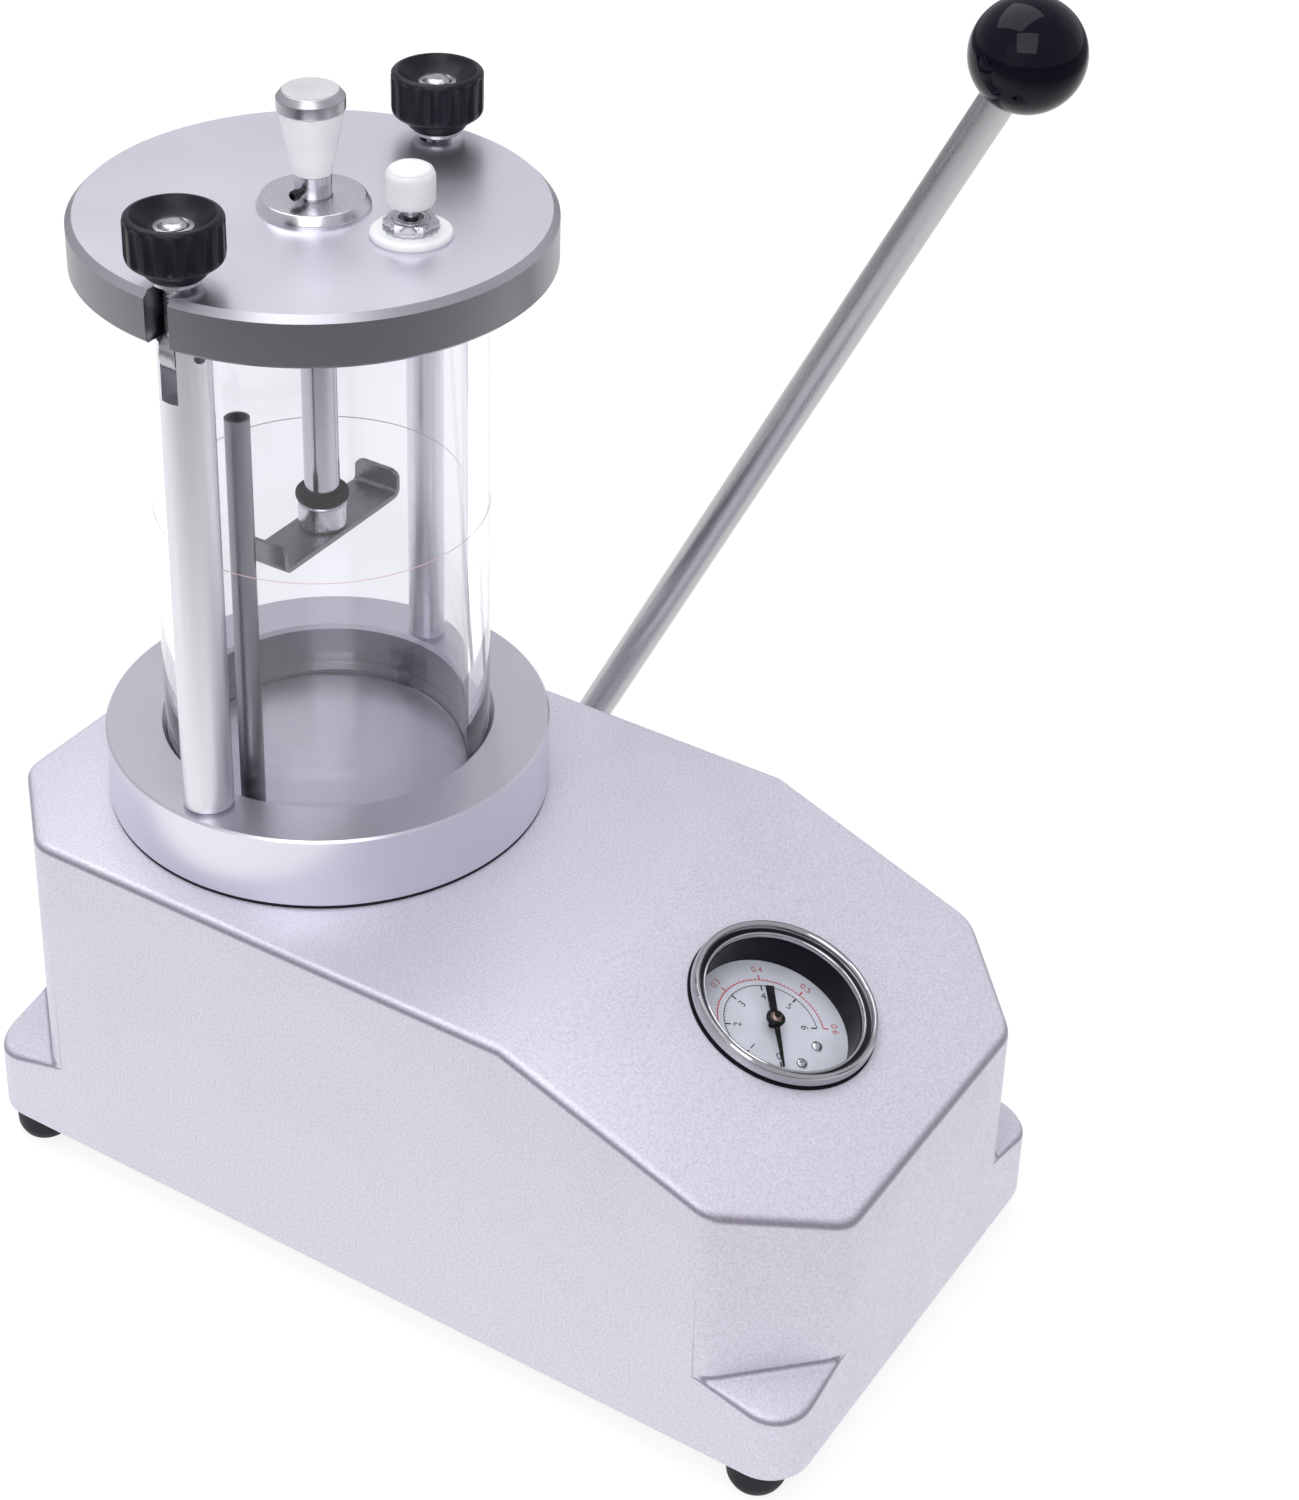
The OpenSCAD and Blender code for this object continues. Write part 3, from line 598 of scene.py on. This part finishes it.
KNOB = [
    (4.3, T + 1.8), (5.6, T + 1.8, 0.3), (6.7, T + 2.8, 0.4), (6.8, T + 4.5), (8.2, T + 4.4, 0.5),
    (10.1, T + 5.8, 0.5), (10.25, T + 6.4), (10.32, T + 6.8), (KNOB_R, T + 7.4), (KNOB_R, T + 14.0),
    (KNOB_R, T + 14.4), (10.38, T + 14.7), (10.3, T + 14.95), (10.2, T + 15.1), (9.95, T + 15.4),
    (9.6, T + 15.6), (9.2, T + 15.75), (8.9, T + 15.75), (8.6, T + 15.5), (8.3, T + 14.9),
    (5.0, T + 12.6, 0.4), (4.3, T + 12.6),
]
INSERT = [(3.06, T + 1.85), (4.28, T + 1.85), (4.28, T + 13.0, 0.2), (3.4, T + 13.15), (3.06, T + 12.9)]
for side in ("left", "right"):
    spot = middle("clamp_knob_" + side)
    here = stand(spot.x, spot.y)
    turned_piece("threaded_insert_" + side, INSERT, "screw_steel", "knob_" + side,
                 ["knob_insert_" + side], matrix=here, closed=True, seg=48)
    turned_piece("fluted_knob_" + side, KNOB, "black_plastic", "knob_" + side,
                 ["clamp_knob_" + side], matrix=here, closed=True, seg=192, shape=flute)


# Swing bolts: eye, flat neck and threaded shank
PITCH = 1.0
THREAD_DEPTH = 0.5
NECK_HALF = 2.0
THREAD_LOW = L + 4.6
THREAD_STEP = PITCH / 8


def thread(r, z, a):
    """Screw thread cut into the shank, but not into its two ends."""
    if r < 2.4 or z > T + 13.4:
        return r
    return r - THREAD_DEPTH * abs(((z - a / (2 * math.pi)) % PITCH) - 0.5) * 2


def flat_neck(r, z, a):
    return min(r, NECK_HALF / max(0.1, abs(math.sin(a))))


for side in ("left", "right"):
    spot = middle("clamp_washer_" + side)
    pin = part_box("hinge_pins")
    pin_z = (pin[0].z + pin[1].z) / 2
    across = stand(spot.x, spot.y, pin_z) @ Matrix.Rotation(math.pi / 2, 4, "X")
    eye = [(1.81, -NECK_HALF), (4.8, -NECK_HALF, 0.4), (4.8, NECK_HALF, 0.4), (1.81, NECK_HALF)]
    bm = lathe(rounded(eye), across, 64, True)
    up = stand(spot.x, spot.y)
    lathe([(0, L + 0.5), (3.0, L + 0.5), (3.0, L + 6.0), (0, L + 6.0)], up, 48, False, flat_neck, bm)
    steps = int((T + 13.3 - L - 4.6) / THREAD_STEP)
    shank = [(0, THREAD_LOW), (2.3, THREAD_LOW)]
    shank += [(3.0, THREAD_LOW + THREAD_STEP * k) for k in range(steps)]
    shank += [(2.4, T + 13.7), (1.2, T + 13.9), (0, T + 13.5)]
    lathe(shank, up, 32, False, thread, bm)
    bolt = add("threaded_bolt_" + side, bm, "screw_steel", "bolt_" + side, 50)
    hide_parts("swing_bolt_" + side)


# Handle, its neck and set screw, and the lid's bush
turned_piece(
    "handle_neck",
    [(2.5, T + 2.8), (4.05, T + 2.8, 0.25), (4.05, T + 7.8, 0.1), (2.5, T + 7.8)],
    "satin_steel", "holder", ["handle"], closed=True)
turned_piece(
    "handle_cone",
    [(2.5, T + 7.85), (4.25, T + 7.85, 0.25), (7.1, T + 22.4, 0.2), (2.5, T + 22.4)],
    "handle_aluminium", "holder", closed=True)
turned_piece(
    "handle_band",
    [(0, T + 22.35), (7.15, T + 22.35), (7.4, T + 22.6, 0.12), (7.4, T + 25.1, 0.15),
     (6.2, T + 26.6, 0.15), (0, T + 26.6)],
    "band_steel", "holder")
turned_piece(
    "handle_cap",
    [(0, T + 26.5), (6.1, T + 26.5), (6.0, T + 26.8, 0.12), (0.6, T + 26.8),
     (0.4, T + 26.95), (0, T + 27.0)],
    "satin_white", "holder")
screw = middle("handle_set_screw")


def knurl(r, z, a):
    return r - (0.08 if r > 1.1 and math.cos(16 * a) < 0 else 0)


turned_piece(
    "neck_screw",
    [(0, 0), (0.8, 0), (0.8, 1.8), (1.15, 1.8, 0.15), (1.15, 3.5, 0.25), (0.7, 3.65), (0.6, 2.9), (0, 2.8)],
    "black_steel", "holder", ["handle_set_screw"],
    matrix=stand(AXIS.x - 0.0036, AXIS.y, screw.z) @ Matrix.Rotation(-math.pi / 2, 4, "Y"),
    seg=48, shape=knurl)
turned_piece(
    "lid_bush",
    [(4.06, L + 0.2), (8.0, L + 0.2), (8.0, T), (12.35, T), (12.35, T + 0.6, 0.15),
     (11.3, T + 2.6, 0.3), (4.06, T + 2.6, 0.15)],
    "satin_steel", "lid", ["gland_bush"], closed=True, seg=128)


# Release valve
NUT_HALF = 5.15


def hexagon(r, z, a):
    return min(r, NUT_HALF / math.cos((a % (math.pi / 3)) - math.pi / 6))


def star(r, z, a):
    return r + (0.3 if r > 5.5 and math.cos(18 * a) > 0.2 else 0)


turned_piece(
    "seat_washer",
    [(4.0, T), (8.6, T), (8.9, T + 0.5, 0.3), (8.75, T + 1.3, 0.3), (8.0, T + 1.8, 0.5), (4.0, T + 1.8)],
    "white_plastic", "lid", ["valve_washer"], matrix=AT_VALVE, closed=True)
turned_piece(
    "star_washer",
    [(4.0, T + 1.8), (5.8, T + 1.8), (5.8, T + 2.3), (4.0, T + 2.3)],
    "polished_steel", "lid", ["valve_nut"], matrix=AT_VALVE, closed=True, seg=144, shape=star)
turned_piece(
    "hex_nut",
    [(4.0, T + 2.3), (6.0, T + 2.3), (6.0, T + 3.7), (5.0, T + 4.2, 0.1), (4.2, T + 4.2), (4.0, T + 4.0)],
    "polished_steel", "lid", matrix=AT_VALVE, closed=True, seg=120, shape=hexagon)
turned_piece(
    "valve_tube",
    [(0.8, L - 4), (6.5, L - 4, 0.4), (6.5, L), (4.0, L), (4.0, T + 4.1, 0.2), (3.6, T + 4.3, 0.1),
     (2.7, T + 4.3, 0.1), (2.5, T + 3.0), (1.62, T + 3.0), (1.62, L + 8), (2.8, L + 8), (2.8, L), (0.8, L)],
    "screw_steel", "lid", ["valve_body"], matrix=AT_VALVE, closed=True)
turned_piece(
    "push_button",
    [(1.55, T + 7.2), (4.7, T + 7.2, 0.6), (5.3, T + 8.4, 0.6), (5.3, T + 14.9, 1.5),
     (3.4, T + 16.15, 1.5), (0, T + 16.35)],
    "white_plastic", "valve_button", ["valve_button"], matrix=AT_VALVE)


# Watch holder on the rod's lower end
ROD_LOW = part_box("rod_end_cap")[0].z / MM - 0.2
turned_piece(
    "grommet",
    [(4.06, ROD_LOW + 6.9), (5.7, ROD_LOW + 6.9, 0.4), (6.1, ROD_LOW + 7.6, 0.5), (6.1, ROD_LOW + 8.6, 0.5),
     (5.6, ROD_LOW + 9.3, 0.4), (4.06, ROD_LOW + 9.3)],
    "rubber", "holder", ["bumper_ring"], closed=True)
turned_piece(
    "polished_cap",
    [(4.0, ROD_LOW + 0.2), (5.3, ROD_LOW + 0.2, 0.2), (5.6, ROD_LOW + 0.8, 0.3), (5.6, ROD_LOW + 6.3, 0.4),
     (5.1, ROD_LOW + 6.8, 0.2), (4.0, ROD_LOW + 6.8)],
    "satin_steel", "holder", ["rod_end_cap"], closed=True)


STRIP_THICK = 1.2 * MM
STRIP_HALF_WIDTH = 6 * MM
BEND_R = 2.2 * MM
TIP_R = 2 * MM


def strip_bm():
    """Holder strip bent up at both ends, the hooks' top corners rounded."""
    lo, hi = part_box("holder_strip")
    half, z = (hi.x - lo.x) / 2, lo.z
    tall = hi.z - lo.z
    path = [(half - BEND_R, 0.0, 0.0)]
    for k in range(1, 11):
        a = math.pi / 20 * k
        path.append((half - BEND_R + BEND_R * math.sin(a), BEND_R - BEND_R * math.cos(a), a))
    path += [(half, BEND_R + (tall - BEND_R) * k / 8, math.pi / 2) for k in range(1, 9)]
    rows = [(-x, h, -a) for x, h, a in path[::-1]] + path
    bm = bmesh.new()
    rings = []
    for x, h, a in rows:
        upright = abs(abs(a) - math.pi / 2) < 1e-6
        near = max(0.0, TIP_R - (tall - h)) if upright else 0.0
        w = STRIP_HALF_WIDTH - (TIP_R - math.sqrt(max(0.0, TIP_R ** 2 - near ** 2)))
        nx, nz = -math.sin(a) * STRIP_THICK, math.cos(a) * STRIP_THICK
        ring = []
        for q, s in ((0, -1), (1, -1), (1, 1), (0, 1)):
            ring.append(bm.verts.new((AXIS.x + x + q * nx, AXIS.y + s * w, z + h + q * nz)))
        rings.append(ring)
    for a, b in zip(rings, rings[1:]):
        for k in range(4):
            j = (k + 1) % 4
            bm.faces.new((a[k], a[j], b[j], b[k]))
    bm.faces.new(rings[0])
    bm.faces.new(rings[-1][::-1])
    bmesh.ops.recalc_face_normals(bm, faces=bm.faces)
    return bm


strip = add("holder_blade", strip_bm(), "strip_steel", "holder", 40)
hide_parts("holder_strip")


# Gauge
turned_piece(
    "gauge_rim",
    [(19.3, 0.02), (21.7, 0.02, 0.2), (22.0, 1.0, 0.4), (21.95, 2.9, 0.9), (21.2, 3.7, 0.6),
     (20.4, 3.2, 0.4), (20.1, 2.0), (19.5, 1.6), (19.4, 1.9, 0.15), (19.0, 2.3, 0.25),
     (18.6, 2.0, 0.25), (18.5, 0.9, 0.2), (19.3, 0.6)],
    "chrome", "base", ["gauge_bezel"], matrix=GAUGE, closed=True, seg=160)
turned_piece(
    "rim_groove",
    [(19.45, 1.5), (20.15, 1.9), (20.15, 2.2), (19.45, 1.8)],
    "gauge_black", "base", matrix=GAUGE, closed=True, seg=128)
turned_piece(
    "rim_gasket",
    [(21.1, 0.0), (22.35, 0.0), (22.3, 0.35), (21.1, 0.35)],
    "gauge_black", "base", matrix=GAUGE, closed=True, seg=160)
turned_piece(
    "inner_wall",
    [(18.3, -7.0), (18.5, -7.0), (18.55, 0.9), (18.35, 0.9)],
    "gauge_black", "base", matrix=GAUGE, closed=True, seg=128)

# Print's height over the housing's slope in millimetres, so below it when negative, and the
# scale's first angle and sweep in degrees
PRINT_Z = -7.19
SCALE_START = 225
SCALE_SWEEP = 270


def arc(bm, r0, r1, a0, a1):
    """Flat band on the dial between two angles in degrees."""
    rows = []
    steps = 90
    for k in range(steps + 1):
        a = math.radians(a0 + (a1 - a0) * k / steps)
        spots = [Vector((r * MM * math.cos(a), r * MM * math.sin(a), PRINT_Z * MM)) for r in (r0, r1)]
        rows.append([bm.verts.new(GAUGE @ p) for p in spots])
    for p, q in zip(rows, rows[1:]):
        bm.faces.new((p[0], p[1], q[1], q[0]))


def tick(bm, r0, r1, angle, width):
    """Flat stroke on the dial, pointing at its middle."""
    a = math.radians(angle)
    along, side = Vector((math.cos(a), math.sin(a), 0)), Vector((-math.sin(a), math.cos(a), 0))
    corners = ((r0, -1), (r1, -1), (r1, 1), (r0, 1))
    spots = [along * r + side * (k * width / 2) for r, k in corners]
    bm.faces.new([bm.verts.new(GAUGE @ ((p + Vector((0, 0, PRINT_Z))) * MM)) for p in spots])


def numeral(bm, text, r, angle, size):
    """A number whose top points away from the dial's middle."""
    curve = bpy.data.curves.new("numeral", "FONT")
    curve.body = text
    curve.size = size * MM
    curve.align_x = "CENTER"
    curve.align_y = "CENTER"
    holder = bpy.data.objects.new("numeral", curve)
    bpy.context.scene.collection.objects.link(holder)
    dg = bpy.context.evaluated_depsgraph_get()
    mesh = bpy.data.meshes.new_from_object(holder.evaluated_get(dg))
    a = math.radians(angle)
    spot = Matrix.Translation((r * MM * math.cos(a), r * MM * math.sin(a), PRINT_Z * MM))
    mesh.transform(GAUGE @ (spot @ Matrix.Rotation(a - math.pi / 2, 4, "Z")))
    bm.from_mesh(mesh)
    bpy.data.objects.remove(holder)
    bpy.data.curves.remove(curve)
    bpy.data.meshes.remove(mesh)


black, red = bmesh.new(), bmesh.new()
arc(black, 11.1, 11.3, SCALE_START, SCALE_START - SCALE_SWEEP)
arc(red, 12.6, 12.85, SCALE_START, SCALE_START - SCALE_SWEEP)
for k in range(61):
    angle = SCALE_START - SCALE_SWEEP * k / 60
    major, middle_tick = k % 10 == 0, k % 5 == 0
    tick(black, 9.8 if major else 10.7, 11.1, angle, 0.4 if major else 0.1)
    tick(red, 12.85, 14.1 if major else 13.6 if middle_tick else 13.3, angle, 0.35 if major else 0.12)
for k in range(7):
    angle = SCALE_START - SCALE_SWEEP / 6 * k
    numeral(black, str(k), 8.1, angle, 2.6)
    if k:
        numeral(red, "0." + str(k), 15.6, angle, 2.3)
add("dial_print_black", black, "print_black", "base")
add("dial_print_red", red, "print_red", "base")
turned_piece(
    "pointer_hub",
    [(0, -3.9), (1.6, -3.9), (1.5, -3.5, 0.2), (0.9, -2.95, 0.3), (0, -2.8)],
    "bronze", "pointer", matrix=GAUGE, seg=48)
turned_piece(
    "pointer_collar",
    [(0, -4.25), (2.2, -4.25), (2.25, -4.0, 0.1), (1.6, -3.8, 0.1), (0, -3.8)],
    "pointer_black", "pointer", matrix=GAUGE, seg=48)

# Dial screws: round heads, then a slot cut into each
SCREW_X = 3.4 * MM
SCREW_Y = -10.6 * MM
SCREW_TOP = -6.4
head = rounded([(0, -7.2), (1.25, -7.2), (1.25, -6.8, 0.15), (0.6, -6.45, 0.3), (0, SCREW_TOP)])
bm = bmesh.new()
slots = bmesh.new()
for s in (-1, 1):
    lathe(head, GAUGE @ stand(s * SCREW_X, SCREW_Y), 32, bm=bm)
    turn = GAUGE @ stand(s * SCREW_X, SCREW_Y, SCREW_TOP * MM) @ Matrix.Rotation(0.6 * s, 4, "Z")
    size = Matrix.Diagonal((3 * MM, 0.35 * MM, 0.5 * MM, 1))
    bmesh.ops.create_cube(slots, size=1.0, matrix=turn @ size)
heads = add("dial_screw_heads", bm, "screw_steel", "base")
combine(heads, loose("slots", slots), "DIFFERENCE")
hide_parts("dial_screws")


# Ribbed seal under the tube
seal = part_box("tube_seal")
ribs = [(32.7, seal[0].z / MM), (37.7, seal[0].z / MM), (37.7, seal[1].z / MM - 0.3)]
for r in (36.9, 35.3, 33.7):
    ribs += [(r, seal[1].z / MM - 0.05, 0.2), (r - 0.8, seal[1].z / MM - 0.7, 0.2)]
turned_piece("ribbed_seal", ribs, "seal_gray", "base", ["tube_seal"],
             closed=True, seg=160)


# Red fill line round the tube
LINE_R = 37.82
LINE_Z = 172.45
line = [(LINE_R, LINE_Z), (LINE_R + 0.06, LINE_Z), (LINE_R + 0.06, LINE_Z + 0.2), (LINE_R, LINE_Z + 0.2)]
turned_piece("level_line", line, "line_red", "base", closed=True, seg=160)


# Ball on the lever
hub, ball = middle("lever_hub"), middle("ball_knob")
lean = math.atan2(-(ball.y - hub.y), ball.z - hub.z)
AT_BALL = Matrix.Translation(ball) @ Matrix.Rotation(lean, 4, "X")
R = (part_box("ball_knob")[1].x - ball.x) / MM
round_part = [(R * math.sin(math.radians(a)), R * math.cos(math.radians(a))) for a in range(0, 157, 3)]
socket = [(4.6, -R + 1.0), (4.1, -R + 1.3), (4.1, -R + 4)]
turned_piece("gloss_ball", round_part + socket, "gloss_black", "lever", ["ball_knob"],
             matrix=AT_BALL, seg=128)


# ---- camera, lights, floor ----

# Azimuth, elevation and roll of the photographer's view, and the camera's place in metres
AZ, EL, ROLL = math.radians(-58.42), math.radians(30.82), math.radians(1.58)
PLACE = (MID_X - 0.4749, -0.3196, 0.5252)
# Lens in mm on a 36 mm sensor, and the shift of the frame in parts of its height
SENSOR = 36
LENS = 74.18328
SHIFT = (0.0196667, -0.1533333)

cam_data = bpy.data.cameras.new("camera")
cam = bpy.data.objects.new("camera", cam_data)
bpy.context.scene.collection.objects.link(cam)
bpy.context.scene.camera = cam
back = Vector((math.sin(AZ) * math.cos(EL), -math.cos(AZ) * math.cos(EL), math.sin(EL)))
right = Vector((math.cos(AZ), math.sin(AZ), 0))
up = back.cross(right)
rolled_right = right * math.cos(ROLL) + up * math.sin(ROLL)
rolled_up = up * math.cos(ROLL) - right * math.sin(ROLL)
turn = Matrix((rolled_right, rolled_up, back)).transposed().to_4x4()
cam.matrix_world = Matrix.Translation(PLACE) @ turn
cam_data.sensor_width = SENSOR
cam_data.lens = LENS
cam_data.shift_x, cam_data.shift_y = SHIFT
cam_data.clip_start = 0.01
cam_data.clip_end = 30


# Where every light points, then name, place, width and height in metres, and watts
TARGET = Vector((0, 0, 0.12))
LIGHTS = [
    ("soft_top", (0.1, 0.35, 1.25), 1.1, 1.1, 8.0),
    ("soft_high", (-0.75, -0.35, 1.05), 0.8, 0.8, 4.8),
    ("soft_left", (-1.3, -0.05, 0.65), 0.9, 1.2, 0.8),
    ("soft_right", (1.1, -0.5, 0.7), 0.7, 1.0, 0.3),
]
for name, place, width, height, power in LIGHTS:
    lamp = bpy.data.lights.new(name, "AREA")
    lamp.shape = "RECTANGLE"
    lamp.size = width
    lamp.size_y = height
    lamp.energy = power
    obj = bpy.data.objects.new(name, lamp)
    obj.location = place
    obj.rotation_mode = "QUATERNION"
    obj.rotation_quaternion = (TARGET - Vector(place)).to_track_quat("-Z", "Y")
    bpy.context.scene.collection.objects.link(obj)

WORLD_COLOR = (0.95, 0.95, 1.0, 1)
WORLD_STRENGTH = 0.63
world = bpy.data.worlds.new("studio")
bpy.context.scene.world = world
world.use_nodes = True
sky = world.node_tree.nodes["Background"]
sky.inputs["Color"].default_value = WORLD_COLOR
sky.inputs["Strength"].default_value = WORLD_STRENGTH


# Middle of the floor's white pool in metres, its radius, where it has faded out, the floor's
# own radius and gray, and how strongly it glows in the pool and beyond it
POOL = Vector((0.36, 0.34, 0))
POOL_RADIUS = 0.68
FADE_RADIUS = 0.95
FLOOR_RADIUS = 6.0
FLOOR_GRAY = 0.20
POOL_GLOW = 0.83
FAR_GLOW = 0.08


def floor():
    """Plain pale floor with a softly fading pool of white light under the object."""
    bm = bmesh.new()
    bmesh.ops.create_circle(bm, cap_ends=True, segments=96, radius=FLOOR_RADIUS)
    obj = loose("floor", bm)
    m = Mat("floor", (FLOOR_GRAY, FLOOR_GRAY, FLOOR_GRAY), 0.8)
    m.rough_by(m.noise(0.01), 0.7, 0.9)
    far = m.node("ShaderNodeVectorMath", operation="LENGTH")
    m.link(m.space(shift=-1000 * POOL), far.inputs[0])
    ends = (1000 * POOL_RADIUS, 1000 * FADE_RADIUS)
    m.bsdf.inputs["Emission Color"].default_value = (1, 1, 1, 1)
    m.link(m.span(far.outputs["Value"], POOL_GLOW, FAR_GLOW, *ends), m.bsdf.inputs["Emission Strength"])
    obj.data.materials.append(m.mat)


floor()

bpy.context.scene.view_settings.view_transform = "Standard"
